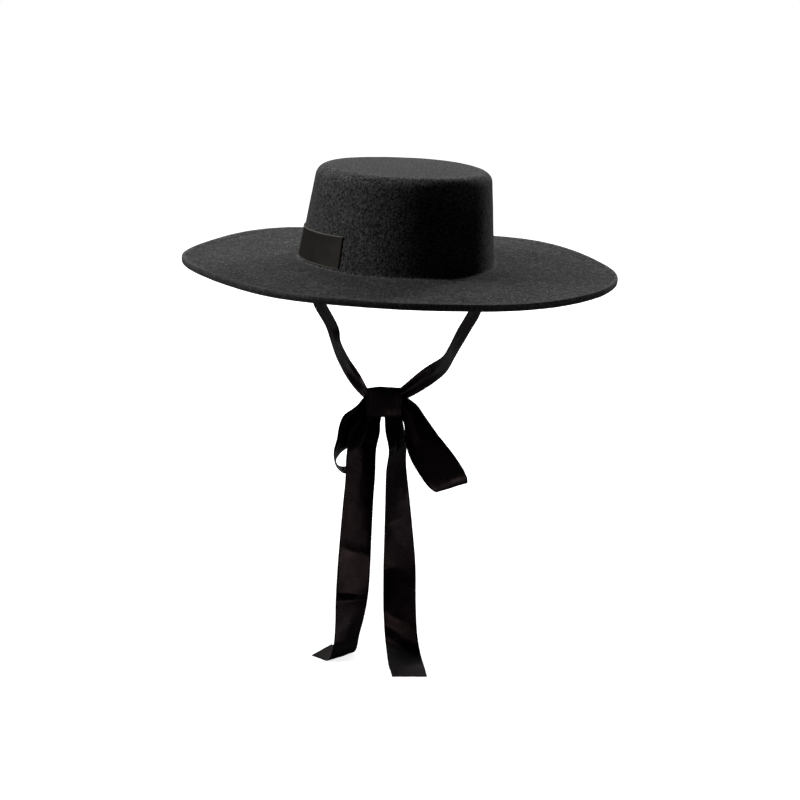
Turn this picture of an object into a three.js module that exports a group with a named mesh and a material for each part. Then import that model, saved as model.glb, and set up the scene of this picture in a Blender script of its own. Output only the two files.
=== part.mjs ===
// Wide-brimmed flat-crowned boater of black wool felt, held on by two grosgrain ties.
// Millimetres, +Z up, the wearer faces -Y, so the wearer's right is -X.
// The origin is the middle of the head opening, in the plane where crown and brim meet.

import * as THREE from 'three';

// Felt body
const CROWN_HALF_WIDTH = 89;
const CROWN_HALF_DEPTH = 102;
const CROWN_HEIGHT = 85;
const CROWN_TAPER = 10;
const CROWN_LEAN = 3.3;
const CROWN_DOME = 1.2;
const EDGE_RADIUS = 9.5;
const FELT = 2.5;
const BRIM_WIDTH = 109;
const BRIM_SHIFT = 3;
const BRIM_DROP = -2.6;
const BREAK_RADIUS = 1.6;
const HEM_WIDTH = 9;
const HEM_THICK = 4.8;
const WORN_ROLL = 2.81;
const WORN_TILT = -1.24;
const ROUND_STEPS = 80;

// Waves of the brim's rim, in mm, by the number of waves once around
const BRIM_WAVES = [
  { waves: 2, cosine: 0.45, sine: 0.87 },
  { waves: 3, cosine: 0.11, sine: 0.53 },
  { waves: 4, cosine: -1.10, sine: 0.45 },
  { waves: 5, cosine: 0.01, sine: -1.33 },
];

// Side label, a short flat length of the same ribbon around the wearer's right side
const LABEL_THICK = 1.2;
const LABEL_GAP = 0.35;
const LABEL_START = 35;
const LABEL_END = 108;
const LABEL_LOW = 2.3;
const LABEL_HIGH = 31;
const LABEL_SAG = 2.2;

// Ribbon
const RIBBON = 32;
const RIBBON_THICK = 1;

// Knot
const KNOT_LEFT = -27;
const KNOT_RIGHT = 4.5;
const KNOT_HALF_HEIGHT = 13.6;
const KNOT_HALF_DEPTH = 9.5;
const KNOT_MIDDLE = { y: -80.5, z: -113 };
const PLEATS = 5;
const PLEAT_DEPTH = 0.7;

// Every ribbon row is one cross-section: its middle x, y, z, the share of the ribbon's
// width that is spread flat, less where it is gathered, and the way its width runs, as a heading from
// +X towards +Y (turn) and an angle above level (rise), both in degrees.

// From inside the crown, down over the ear, under the jaw and to the knot, width from front to back
const TIE_RIGHT = [
  { x: -81.9, y: 0.0, z: 18.0, spread: 1.00, turn: 90, rise: 0 },
  { x: -84.1, y: 0.0, z: 3.0, spread: 1.00, turn: 90, rise: 0 },
  { x: -82.6, y: 1.0, z: -15.0, spread: 1.00, turn: 97, rise: 0 },
  { x: -71.2, y: 3.1, z: -44.1, spread: 1.00, turn: 111, rise: -3 },
  { x: -60.4, y: -3.9, z: -61.6, spread: 1.00, turn: 110, rise: -8 },
  { x: -55.5, y: -16.6, z: -72.9, spread: 1.00, turn: 107, rise: -18 },
  { x: -51.6, y: -27.4, z: -80.6, spread: 1.00, turn: 104, rise: -30 },
  { x: -44.6, y: -38.3, z: -91.3, spread: 0.97, turn: 100, rise: -42 },
  { x: -37.8, y: -52.7, z: -97.4, spread: 0.84, turn: 96, rise: -55 },
  { x: -31.4, y: -67.7, z: -101.9, spread: 0.62, turn: 92, rise: -68 },
  { x: -27.8, y: -73.6, z: -103.5, spread: 0.47, turn: 90, rise: -78 },
];

const TIE_LEFT = [
  { x: 83.9, y: 0.0, z: 10.0, spread: 1.00, turn: 90, rise: 0 },
  { x: 84.4, y: 0.0, z: -4.0, spread: 1.00, turn: 90, rise: 0 },
  { x: 82.4, y: 1.0, z: -22.0, spread: 1.00, turn: 83, rise: 0 },
  { x: 71.3, y: 1.1, z: -52.4, spread: 1.00, turn: 69, rise: -3 },
  { x: 63.6, y: -2.7, z: -63.8, spread: 1.00, turn: 69, rise: -10 },
  { x: 51.1, y: -17.1, z: -80.9, spread: 1.00, turn: 74, rise: -24 },
  { x: 43.7, y: -32.4, z: -89.5, spread: 1.00, turn: 80, rise: -38 },
  { x: 33.6, y: -51.3, z: -93.0, spread: 0.91, turn: 84, rise: -50 },
  { x: 25.0, y: -61.2, z: -96.3, spread: 0.78, turn: 86, rise: -60 },
  { x: 13.0, y: -71.2, z: -102.2, spread: 0.59, turn: 88, rise: -70 },
  { x: 5.3, y: -75.6, z: -105.3, spread: 0.47, turn: 90, rise: -78 },
];

// Loop at the wearer's right: out, down, round its open end and back behind the tail
const LOOP_RIGHT = [
  { x: -27.8, y: -80.0, z: -116.1, spread: 0.44, turn: 180, rise: 88 },
  { x: -32.1, y: -81.5, z: -125.4, spread: 0.64, turn: -156, rise: 53 },
  { x: -37.0, y: -82.0, z: -134.7, spread: 0.96, turn: -157, rise: 47 },
  { x: -41.3, y: -83.0, z: -141.3, spread: 0.95, turn: -143, rise: 40 },
  { x: -46.7, y: -81.5, z: -150.0, spread: 0.91, turn: -118, rise: 26 },
  { x: -52.9, y: -78.0, z: -159.6, spread: 0.94, turn: -101, rise: 18 },
  { x: -55.2, y: -76.5, z: -167.9, spread: 0.96, turn: -91, rise: 19 },
  { x: -52.9, y: -75.5, z: -173.9, spread: 0.93, turn: -91, rise: 13 },
  { x: -47.5, y: -75.0, z: -177.3, spread: 0.88, turn: -87, rise: 4 },
  { x: -40.0, y: -74.5, z: -175.5, spread: 0.94, turn: -90, rise: 4 },
  { x: -34.0, y: -72.0, z: -163.0, spread: 0.91, turn: -115, rise: 6 },
  { x: -30.5, y: -68.0, z: -146.0, spread: 0.72, turn: -140, rise: 14 },
  { x: -29.3, y: -70.0, z: -132.0, spread: 0.50, turn: -140, rise: 50 },
  { x: -27.8, y: -73.5, z: -119.0, spread: 0.34, turn: -100, rise: 86 },
];

// Loop at the wearer's left: it hangs almost flat, front layer out, round the end and back behind
const LOOP_LEFT = [
  { x: 5.3, y: -85.0, z: -118.8, spread: 0.49, turn: 0, rise: 88 },
  { x: 9.9, y: -88.0, z: -124.8, spread: 0.75, turn: -14, rise: 69 },
  { x: 16.0, y: -90.5, z: -137.9, spread: 0.90, turn: -10, rise: 53 },
  { x: 24.4, y: -92.5, z: -152.0, spread: 1.03, turn: -7, rise: 44 },
  { x: 33.3, y: -93.5, z: -165.1, spread: 1.09, turn: -6, rise: 39 },
  { x: 41.4, y: -93.5, z: -176.9, spread: 1.09, turn: -6, rise: 35 },
  { x: 47.4, y: -92.5, z: -185.2, spread: 1.04, turn: -6, rise: 24 },
  { x: 49.3, y: -89.0, z: -189.8, spread: 0.90, turn: -2, rise: 18 },
  { x: 46.2, y: -85.0, z: -184.0, spread: 1.03, turn: -2, rise: 24 },
  { x: 40.5, y: -84.0, z: -174.5, spread: 1.03, turn: -2, rise: 34 },
  { x: 30.5, y: -82.5, z: -160.0, spread: 1.00, turn: -2, rise: 42 },
  { x: 20.5, y: -80.5, z: -144.0, spread: 0.84, turn: -4, rise: 48 },
  { x: 12.2, y: -77.5, z: -131.0, spread: 0.59, turn: -10, rise: 62 },
  { x: 5.3, y: -74.5, z: -120.5, spread: 0.34, turn: -60, rise: 84 },
];

// Tails: down from the knot to the floor, with the press folds of the packed ribbon, width from
// the wearer's right to the left
const TAIL_RIGHT = [
  { x: -22.6, y: -83.0, z: -127.0, spread: 0.47, turn: 10, rise: 0 },
  { x: -27.6, y: -87.0, z: -138.0, spread: 0.88, turn: 24, rise: -4 },
  { x: -31.2, y: -90.0, z: -156.0, spread: 1.00, turn: 36, rise: -2 },
  { x: -32.4, y: -90.0, z: -180.0, spread: 1.00, turn: 35, rise: 0 },
  { x: -34.4, y: -88.0, z: -203.0, spread: 1.00, turn: 33, rise: 0 },
  { x: -37.3, y: -83.0, z: -244.0, spread: 1.00, turn: 27, rise: 0 },
  { x: -38.8, y: -85.0, z: -268.0, spread: 1.00, turn: 25, rise: 0 },
  { x: -40.5, y: -88.0, z: -292.0, spread: 1.00, turn: 29, rise: 0 },
  { x: -43.0, y: -86.0, z: -317.0, spread: 1.00, turn: 37, rise: 0 },
  { x: -45.8, y: -84.5, z: -336.0, spread: 1.00, turn: 45, rise: 0 },
  { x: -48.8, y: -86.0, z: -348.5, spread: 0.97, turn: 42, rise: 0 },
  { x: -51.5, y: -84.5, z: -352.2, spread: 0.97, turn: 42, rise: 0 },
  { x: -60.0, y: -76.3, z: -352.3, spread: 1.00, turn: 49, rise: 0 },
  { x: -69.4, y: -67.6, z: -352.4, spread: 1.01, turn: 58, rise: 0 },
];

const TAIL_LEFT = [
  { x: -2.4, y: -83.0, z: -127.0, spread: 0.44, turn: 12, rise: 0 },
  { x: -1.2, y: -85.0, z: -137.0, spread: 0.62, turn: 46, rise: 0 },
  { x: 1.4, y: -87.0, z: -152.0, spread: 0.94, turn: 62, rise: 0 },
  { x: -0.4, y: -87.0, z: -171.0, spread: 1.00, turn: 57, rise: 0 },
  { x: 0.6, y: -86.5, z: -203.0, spread: 1.00, turn: 48, rise: 0 },
  { x: 1.6, y: -83.0, z: -234.0, spread: 1.00, turn: 38, rise: 0 },
  { x: 2.5, y: -81.0, z: -268.0, spread: 1.00, turn: 25, rise: 0 },
  { x: 2.7, y: -85.0, z: -304.0, spread: 1.00, turn: 24, rise: 0 },
  { x: 4.0, y: -88.0, z: -328.0, spread: 1.00, turn: 25, rise: 0 },
  { x: 6.2, y: -92.0, z: -344.0, spread: 1.00, turn: 22, rise: 0 },
  { x: 8.2, y: -99.0, z: -351.4, spread: 1.00, turn: 14, rise: 0 },
  { x: 9.8, y: -110.0, z: -352.3, spread: 0.98, turn: 6, rise: 0 },
  { x: 11.5, y: -126.4, z: -352.4, spread: 0.97, turn: 0, rise: 0 },
];

const FELT_COLOUR = 0x35363a;
const RIBBON_COLOUR = 0x141316;
const LABEL_COLOUR = 0x1b1817;

const radians = THREE.MathUtils.degToRad;
const mix = THREE.MathUtils.lerp;

// A closed body from a list of rings with the same number of points. The ends are closed by a fan
// around the middle of the first and the last ring.
function closedLoft(rings) {
  const count = rings[0].length;
  const positions = [];
  const triangles = [];
  for (const ring of rings) {
    for (const point of ring) positions.push(point.x, point.y, point.z);
  }
  for (let row = 0; row < rings.length - 1; row += 1) {
    for (let step = 0; step < count; step += 1) {
      const next = (step + 1) % count;
      const here = row * count;
      const above = here + count;
      triangles.push(here + step, here + next, above + next);
      triangles.push(here + step, above + next, above + step);
    }
  }
  const capEnd = (ring, offset, flip) => {
    const middle = new THREE.Vector3();
    for (const point of ring) middle.add(point);
    middle.divideScalar(count);
    const hub = positions.length / 3;
    positions.push(middle.x, middle.y, middle.z);
    for (let step = 0; step < count; step += 1) {
      const next = (step + 1) % count;
      if (flip) triangles.push(hub, offset + next, offset + step);
      else triangles.push(hub, offset + step, offset + next);
    }
  };
  capEnd(rings[0], 0, true);
  capEnd(rings[rings.length - 1], (rings.length - 1) * count, false);
  const geometry = new THREE.BufferGeometry();
  geometry.setAttribute('position', new THREE.Float32BufferAttribute(positions, 3));
  geometry.setIndex(triangles);
  return faceOutwards(geometry);
}

// Turns the triangles round if the body's signed volume is negative
function faceOutwards(geometry) {
  const place = geometry.getAttribute('position');
  const index = geometry.getIndex();
  const a = new THREE.Vector3();
  const b = new THREE.Vector3();
  const c = new THREE.Vector3();
  let volume = 0;
  for (let i = 0; i < index.count; i += 3) {
    a.fromBufferAttribute(place, index.getX(i));
    b.fromBufferAttribute(place, index.getX(i + 1));
    c.fromBufferAttribute(place, index.getX(i + 2));
    volume += a.dot(b.cross(c));
  }
  if (volume < 0) {
    for (let i = 0; i < index.count; i += 3) {
      const second = index.getX(i + 1);
      index.setX(i + 1, index.getX(i + 2));
      index.setX(i + 2, second);
    }
  }
  geometry.computeVertexNormals();
  return geometry;
}

// The hat's own frame, rolled and tilted as it is worn
const wornTurn = new THREE.Matrix4()
  .makeRotationY(radians(WORN_ROLL))
  .multiply(new THREE.Matrix4().makeRotationX(radians(WORN_TILT)));

function asWorn(x, y, z) {
  return new THREE.Vector3(x, y, z).applyMatrix4(wornTurn);
}

// A point of the crown's outside, moved inwards by inset, at the angle around from +X to +Y
function crownPoint(angle, height, inset) {
  const up = height / CROWN_HEIGHT;
  const halfWidth = CROWN_HALF_WIDTH - CROWN_TAPER * up - inset;
  const halfDepth = CROWN_HALF_DEPTH - CROWN_TAPER * 1.15 * up - inset;
  return asWorn(CROWN_LEAN * up + halfWidth * Math.cos(angle), halfDepth * Math.sin(angle), height);
}

// A point of the brim: out is the distance from the break, lift the height over its middle surface
function brimPoint(angle, out, lift) {
  const share = out / BRIM_WIDTH;
  let rim = BRIM_DROP;
  for (const wave of BRIM_WAVES) {
    rim += wave.cosine * Math.cos(wave.waves * angle) + wave.sine * Math.sin(wave.waves * angle);
  }
  const x = BRIM_SHIFT * share + (CROWN_HALF_WIDTH + out) * Math.cos(angle);
  const y = (CROWN_HALF_DEPTH + out) * Math.sin(angle);
  return asWorn(x, y, rim * Math.pow(Math.max(share, 0), 1.4) + lift);
}

function ringOf(pointAt) {
  const ring = [];
  for (let step = 0; step < ROUND_STEPS; step += 1) {
    ring.push(pointAt((step / ROUND_STEPS) * 2 * Math.PI));
  }
  return ring;
}

// Crown and brim are blocked from one felt: rings run from the middle of the top, down the outside,
// out over the brim, round the turned-under edge, back under the brim and up the inside.
function feltBody() {
  const rings = [];
  const flat = (share, inset, height) => {
    rings.push(ringOf((angle) => {
      const edge = crownPoint(angle, CROWN_HEIGHT, inset);
      const middle = asWorn(CROWN_LEAN, 0, CROWN_HEIGHT);
      const point = middle.lerp(edge, share);
      const dome = CROWN_DOME * (1 - share * share);
      return point.add(asWorn(0, 0, height + dome));
    }));
  };
  flat(0.04, EDGE_RADIUS, 0);
  flat(0.55, EDGE_RADIUS, 0);
  for (const turn of [0, 22, 45, 68, 90]) {
    const inset = EDGE_RADIUS * (1 - Math.sin(radians(turn)));
    const drop = EDGE_RADIUS * (1 - Math.cos(radians(turn)));
    rings.push(ringOf((angle) => crownPoint(angle, CROWN_HEIGHT - drop, inset)));
  }
  for (const height of [48, 24]) {
    rings.push(ringOf((angle) => crownPoint(angle, height, 0)));
  }
  for (const turn of [0, 45, 90]) {
    const out = BREAK_RADIUS * (1 - Math.cos(radians(turn)));
    const lift = BREAK_RADIUS * (1 - Math.sin(radians(turn)));
    rings.push(ringOf((angle) => brimPoint(angle, out, lift)));
  }
  const outside = [
    { out: 30, lift: 0 },
    { out: 65, lift: 0 },
    { out: BRIM_WIDTH - HEM_WIDTH - 3, lift: 0 },
    { out: BRIM_WIDTH - HEM_WIDTH + 2, lift: 0.5 },
    { out: BRIM_WIDTH - 2, lift: 0.4 },
    { out: BRIM_WIDTH - 0.5, lift: -0.8 },
    { out: BRIM_WIDTH, lift: -HEM_THICK / 2 + 0.4 },
    { out: BRIM_WIDTH - 0.5, lift: -HEM_THICK + 1.5 },
    { out: BRIM_WIDTH - 2, lift: -HEM_THICK + 0.4 },
    { out: BRIM_WIDTH - HEM_WIDTH, lift: -HEM_THICK + 0.4 },
    { out: BRIM_WIDTH - HEM_WIDTH - 0.8, lift: -FELT },
    { out: 65, lift: -FELT },
    { out: 30, lift: -FELT },
    { out: 2, lift: -FELT },
  ];
  for (const row of outside) rings.push(ringOf((angle) => brimPoint(angle, row.out, row.lift)));
  rings.push(ringOf((angle) => brimPoint(angle, -FELT + 1.4, -FELT + 0.6)));
  rings.push(ringOf((angle) => brimPoint(angle, -FELT, 0.4)));
  rings.push(ringOf((angle) => crownPoint(angle, 36, FELT)));
  for (const turn of [90, 55, 25, 0]) {
    const inset = FELT + (EDGE_RADIUS - FELT) * (1 - Math.sin(radians(turn)));
    const drop = FELT + (EDGE_RADIUS - FELT) * (1 - Math.cos(radians(turn)));
    rings.push(ringOf((angle) => crownPoint(angle, CROWN_HEIGHT - drop, inset)));
  }
  flat(0.04, EDGE_RADIUS, -FELT);
  return closedLoft(rings);
}

// The label is a curved strip that stands a hair off the crown's wall
function sideLabel() {
  const steps = 22;
  const sections = [];
  for (let step = 0; step <= steps; step += 1) {
    const share = step / steps;
    const around = radians(-90 - mix(LABEL_START, LABEL_END, share));
    const drop = LABEL_SAG * Math.min(1, share * 1.3);
    const low = LABEL_LOW - drop * 0.2;
    const high = LABEL_HIGH - drop;
    const middle = (low + high) / 2;
    const inner = -LABEL_GAP;
    const outer = -LABEL_GAP - LABEL_THICK;
    sections.push([
      crownPoint(around, low, inner),
      crownPoint(around, low, outer),
      crownPoint(around, middle, outer),
      crownPoint(around, high, outer),
      crownPoint(around, high, inner),
      crownPoint(around, middle, inner),
    ]);
  }
  return closedLoft(sections);
}

// A flat ribbon through its rows. Its two edges are smooth curves, and its thickness stands square
// to its face.
function ribbon(rows, steps = 4) {
  const edges = [[], []];
  for (const row of rows) {
    const level = Math.cos(radians(row.rise));
    const way = new THREE.Vector3(
      level * Math.cos(radians(row.turn)),
      level * Math.sin(radians(row.turn)),
      Math.sin(radians(row.rise)),
    );
    const middle = new THREE.Vector3(row.x, row.y, row.z);
    const half = (RIBBON * row.spread) / 2;
    edges[0].push(middle.clone().addScaledVector(way, -half));
    edges[1].push(middle.clone().addScaledVector(way, half));
  }
  const curves = edges.map((edge) => new THREE.CatmullRomCurve3(edge, false, 'centripetal'));
  const count = (rows.length - 1) * steps;
  const sections = [];
  for (let step = 0; step <= count; step += 1) {
    const along = step / count;
    const before = Math.max(0, along - 0.002);
    const after = Math.min(1, along + 0.002);
    const near = curves[0].getPoint(along);
    const far = curves[1].getPoint(along);
    const ahead = curves[0].getPoint(after).add(curves[1].getPoint(after));
    const behind = curves[0].getPoint(before).add(curves[1].getPoint(before));
    const travel = ahead.sub(behind).normalize();
    const across = far.clone().sub(near).normalize();
    const face = across.cross(travel).normalize().multiplyScalar(RIBBON_THICK / 2);
    const middle = near.clone().lerp(far, 0.5);
    sections.push([
      near.clone().sub(face),
      middle.clone().sub(face),
      far.clone().sub(face),
      far.clone().add(face),
      middle.clone().add(face),
      near.clone().add(face),
    ]);
  }
  return closedLoft(sections);
}

// The knot: a soft flattened wrap, with upright pleats where the ribbon is drawn in
function bowKnot() {
  const across = 28;
  const around = 20;
  const sections = [];
  for (let step = 0; step <= across; step += 1) {
    const share = step / across;
    const x = mix(KNOT_LEFT, KNOT_RIGHT, share);
    const swell = Math.pow(Math.sin(Math.PI * mix(0.16, 0.84, share)), 0.45);
    const pleat = PLEAT_DEPTH * Math.cos(2 * Math.PI * PLEATS * share);
    const section = [];
    for (let side = 0; side < around; side += 1) {
      const angle = (side / around) * 2 * Math.PI;
      const cosine = Math.cos(angle);
      const sine = Math.sin(angle);
      const depth = KNOT_HALF_DEPTH * swell - pleat * Math.abs(cosine);
      const height = KNOT_HALF_HEIGHT * mix(0.88, 1, swell);
      const squareness = Math.pow(Math.pow(Math.abs(cosine), 2.6) + Math.pow(Math.abs(sine), 2.6), -1 / 2.6);
      section.push(new THREE.Vector3(
        x,
        KNOT_MIDDLE.y + depth * cosine * squareness,
        KNOT_MIDDLE.z + height * sine * squareness,
      ));
    }
    sections.push(section);
  }
  return closedLoft(sections);
}

const felt = new THREE.MeshStandardMaterial({ color: FELT_COLOUR, roughness: 0.95, metalness: 0 });
const grosgrain = new THREE.MeshStandardMaterial({ color: RIBBON_COLOUR, roughness: 0.6, metalness: 0 });
const labelCloth = new THREE.MeshStandardMaterial({ color: LABEL_COLOUR, roughness: 0.6, metalness: 0 });

const hat = new THREE.Group();
hat.name = 'boater_hat';

function addPiece(name, geometry, material) {
  const mesh = new THREE.Mesh(geometry, material);
  mesh.name = name;
  hat.add(mesh);
}

addPiece('felt_body', feltBody(), felt);
addPiece('side_label', sideLabel(), labelCloth);
addPiece('tie_right', ribbon(TIE_RIGHT), grosgrain);
addPiece('tie_left', ribbon(TIE_LEFT), grosgrain);
addPiece('bow_knot', bowKnot(), grosgrain);
addPiece('bow_loop_right', ribbon(LOOP_RIGHT), grosgrain);
addPiece('bow_loop_left', ribbon(LOOP_LEFT), grosgrain);
addPiece('tie_tail_right', ribbon(TAIL_RIGHT, 3), grosgrain);
addPiece('tie_tail_left', ribbon(TAIL_LEFT, 3), grosgrain);

export default hat;
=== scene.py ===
# Looks of a wide-brimmed flat-crowned boater in black wool felt, with grosgrain ties and a bow.
# Lengths are worked out in millimetres and set into the meshes in metres, +Z up, the wearer faces -Y.

import math

import bmesh
import bpy
from mathutils import Euler, Matrix, Vector, noise


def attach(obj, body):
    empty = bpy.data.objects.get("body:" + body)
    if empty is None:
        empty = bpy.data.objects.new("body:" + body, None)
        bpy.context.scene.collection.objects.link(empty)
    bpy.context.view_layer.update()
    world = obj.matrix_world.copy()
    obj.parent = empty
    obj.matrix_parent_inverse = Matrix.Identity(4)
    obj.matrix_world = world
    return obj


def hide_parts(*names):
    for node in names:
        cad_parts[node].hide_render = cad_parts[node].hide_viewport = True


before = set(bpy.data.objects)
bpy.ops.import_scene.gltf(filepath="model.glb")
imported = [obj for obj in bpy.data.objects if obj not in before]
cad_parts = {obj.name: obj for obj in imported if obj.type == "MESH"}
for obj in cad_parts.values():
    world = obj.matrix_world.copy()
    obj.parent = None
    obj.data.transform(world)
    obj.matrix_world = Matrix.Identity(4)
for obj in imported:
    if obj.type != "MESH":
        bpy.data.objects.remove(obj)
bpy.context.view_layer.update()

MM = 0.001

# Felt body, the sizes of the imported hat
CROWN_HALF_WIDTH = 89
CROWN_HALF_DEPTH = 102
CROWN_HEIGHT = 85
CROWN_TAPER = 10
CROWN_LEAN = 3.3
CROWN_DOME = 1.2
EDGE_RADIUS = 9.5
FELT = 2.5
BRIM_WIDTH = 109
BRIM_SHIFT = 3
BRIM_DROP = -2.6
BREAK_RADIUS = 1.6
HEM_WIDTH = 9
HEM_THICK = 5.4
HEM_RISE = 0.45
HEM_BEAD = 0.6
HEM_CORNER = 1.1
HEM_FOLD_RADIUS = 0.9
RIM_BULGE = 0.2
CROWN_TOP_STRETCH = 11.5
UNDER_BREAK_RADIUS = 4
UNEVENNESS_SEED = 1795695830
WORN_ROLL = 2.81
WORN_TILT = -1.24
BRIM_WAVES = [(2, 0.45, 0.87), (3, 0.11, 0.53), (4, -1.10, 0.45), (5, 0.01, -1.33)]
SPIN_STEPS = 256

# Side label
LABEL_THICK = 0.6
LABEL_GAP = 0.2
LABEL_START = 35
LABEL_END = 108
LABEL_LOW = 2.3
LABEL_HIGH = 31
LABEL_SAG = 2.2
LABEL_RADIUS = 92
LABEL_RIB_PITCH = 0.8

# Ribbon
RIBBON = 32
RIBBON_THICK = 0.45
RIB_PITCH = 1.0
RIBBON_COLUMNS = 20
STATION_PITCH = 1.2
GATHER_WAVES = 1.6
GATHER_DEPTH = 1.8
GATHER_REACH = (58, 24)
TUCK_REACH = 7.0
FLOOR = -353.1

# Knot
KNOT_LEFT = -27
KNOT_RIGHT = 4.5
KNOT_HALF_HEIGHT = 13.6
KNOT_HALF_DEPTH = 9.5
KNOT_MIDDLE = (-80.5, -113)
KNOT_AROUND = 74
KNOT_TURN_IN = 0.14
KNOT_SQUARENESS = 2.6
KNOT_FOLDS = [(0.10, 0.07, 0.9), (0.24, 0.05, 0.55), (0.36, 0.03, 0.35), (0.66, 0.06, 0.5),
              (0.90, 0.06, 0.8)]

# Ribbon rows: the middle x, y, z of a cross-section, the share of the width that is spread flat,
# and the heading (turn) and the angle above level (rise) of its width, in degrees.
TIE_RIGHT = [
    (-81.9, 0.0, 18.0, 1.00, 90, 0),
    (-84.1, 0.0, 3.0, 1.00, 90, 0),
    (-81.2, 1.0, -15.0, 1.00, 102, 0),
    (-69.4, 3.1, -44.1, 1.00, 118, -3),
    (-59.3, -3.9, -61.6, 1.00, 114, -8),
    (-55.5, -16.6, -72.9, 1.00, 107, -18),
    (-51.6, -27.4, -80.6, 1.00, 104, -30),
    (-44.6, -38.3, -91.3, 0.97, 100, -42),
    (-37.8, -52.7, -97.4, 0.84, 96, -55),
    (-31.4, -67.7, -101.9, 0.62, 92, -68),
    (-27.8, -73.6, -105.6, 0.40, 90, -78),
]
TIE_LEFT = [
    (83.9, 0.0, 10.0, 1.00, 90, 0),
    (84.4, 0.0, -4.0, 1.00, 90, 0),
    (80.8, 1.0, -22.0, 1.00, 77, 0),
    (69.4, 1.1, -52.4, 1.00, 61, -3),
    (62.4, -2.7, -63.8, 1.00, 64, -10),
    (51.1, -17.1, -80.9, 1.00, 74, -24),
    (43.7, -32.4, -89.5, 1.00, 80, -38),
    (33.6, -51.3, -93.0, 0.91, 84, -50),
    (25.0, -61.2, -96.3, 0.78, 86, -60),
    (13.0, -71.2, -102.2, 0.59, 88, -70),
    (5.3, -75.6, -106.4, 0.41, 90, -78),
]
LOOP_RIGHT = [
    (-27.8, -80.0, -116.1, 0.44, 180, 88),
    (-32.1, -81.5, -125.4, 0.64, -156, 53),
    (-37.0, -82.0, -134.7, 0.96, -157, 47),
    (-41.3, -83.0, -141.3, 0.95, -143, 40),
    (-46.7, -81.5, -150.0, 0.91, -118, 26),
    (-52.9, -78.0, -159.6, 0.94, -101, 18),
    (-55.2, -76.5, -167.9, 0.96, -91, 19),
    (-52.9, -75.5, -173.9, 0.93, -91, 13),
    (-47.5, -75.0, -177.3, 0.88, -87, 4),
    (-40.0, -74.5, -175.5, 0.94, -90, 4),
    (-34.0, -72.0, -163.0, 0.91, -115, 6),
    (-30.5, -68.0, -146.0, 0.72, -140, 14),
    (-29.3, -70.0, -132.0, 0.50, -140, 50),
    (-27.8, -73.5, -119.0, 0.34, -100, 86),
]
LOOP_LEFT = [
    (6.2, -85.0, -118.0, 0.44, 0, 88),
    (10.9, -88.0, -124.4, 0.70, -14, 69),
    (16.4, -90.5, -137.7, 0.89, -10, 53),
    (24.4, -92.5, -152.0, 1.03, -7, 44),
    (33.3, -93.5, -165.1, 1.09, -6, 39),
    (41.4, -93.5, -176.9, 1.09, -6, 35),
    (47.4, -92.5, -185.2, 1.04, -6, 24),
    (49.3, -89.0, -189.8, 0.90, -2, 18),
    (46.2, -85.0, -184.0, 1.03, -2, 24),
    (40.5, -84.0, -174.5, 1.03, -2, 34),
    (30.5, -82.5, -160.0, 1.00, -2, 42),
    (20.5, -80.5, -144.0, 0.84, -4, 48),
    (12.2, -77.5, -131.0, 0.59, -10, 62),
    (5.3, -74.5, -120.5, 0.34, -60, 84),
]
TAIL_RIGHT = [
    (-22.6, -83.0, -127.0, 0.47, 10, 0),
    (-27.6, -87.0, -138.0, 0.88, 24, -4),
    (-31.2, -90.0, -156.0, 1.00, 36, -2),
    (-32.4, -90.0, -180.0, 1.00, 35, 0),
    (-34.4, -88.0, -203.0, 1.00, 33, 0),
    (-37.3, -83.0, -244.0, 1.00, 27, 0),
    (-38.8, -85.0, -268.0, 1.00, 23, 0),
    (-40.4, -88.0, -292.0, 1.00, 25, 0),
    (-42.8, -86.0, -317.0, 1.00, 37, 0),
    (-45.8, -84.5, -336.0, 1.00, 45, 0),
    (-48.8, -86.0, -348.5, 0.97, 42, 0),
    (-51.5, -84.5, -352.2, 0.97, 42, 0),
    (-60.0, -76.3, -352.3, 1.00, 49, 0),
    (-69.4, -67.6, -352.4, 1.01, 58, 0),
]
TAIL_LEFT = [
    (-2.9, -83.0, -127.0, 0.48, 12, 0),
    (-1.8, -85.0, -137.0, 0.72, 46, 0),
    (0.9, -87.0, -152.0, 0.97, 60, 0),
    (-0.4, -87.0, -171.0, 1.00, 57, 0),
    (0.6, -86.5, -203.0, 1.00, 48, 0),
    (1.6, -83.0, -234.0, 1.00, 38, 0),
    (2.5, -81.0, -268.0, 1.00, 25, 0),
    (2.7, -85.0, -304.0, 1.00, 24, 0),
    (4.0, -88.0, -328.0, 1.00, 25, 0),
    (6.2, -92.0, -344.0, 1.00, 22, 0),
    (8.2, -99.0, -351.4, 1.00, 14, 0),
    (9.8, -110.0, -352.3, 0.98, 6, 0),
    (11.5, -126.4, -352.4, 0.97, 0, 0),
]


# Colour and material tools

def linear(code):
    """An sRGB hex colour as linear red, green, blue and alpha."""
    parts = [int(code[i:i + 2], 16) / 255 for i in (1, 3, 5)]
    return [p / 12.92 if p <= 0.04045 else ((p + 0.055) / 1.055) ** 2.4 for p in parts] + [1.0]


def add_node(tree, kind, settings=None, links=None):
    """A node with its settings, and links from other nodes' sockets into its own."""
    made = tree.nodes.new(kind)
    for name, value in (settings or {}).items():
        if isinstance(name, int) or name in made.inputs:
            made.inputs[name].default_value = value
        else:
            setattr(made, name, value)
    for name, source in (links or {}).items():
        tree.links.new(source, made.inputs[name])
    return made


def new_material(name, settings):
    """A material, its node tree and its surface shader, with the uniform values on the shader."""
    material = bpy.data.materials.new(name)
    material.use_nodes = True
    tree = material.node_tree
    tree.nodes.clear()
    surface = add_node(tree, "ShaderNodeBsdfPrincipled", settings)
    add_node(tree, "ShaderNodeOutputMaterial", links={"Surface": surface.outputs[0]})
    return material, tree, surface


# Mesh tools

def smooth_step(low, high, value):
    share = min(1.0, max(0.0, (value - low) / (high - low)))
    return share * share * (3 - 2 * share)


def mix(a, b, share):
    return a + (b - a) * share


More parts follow.
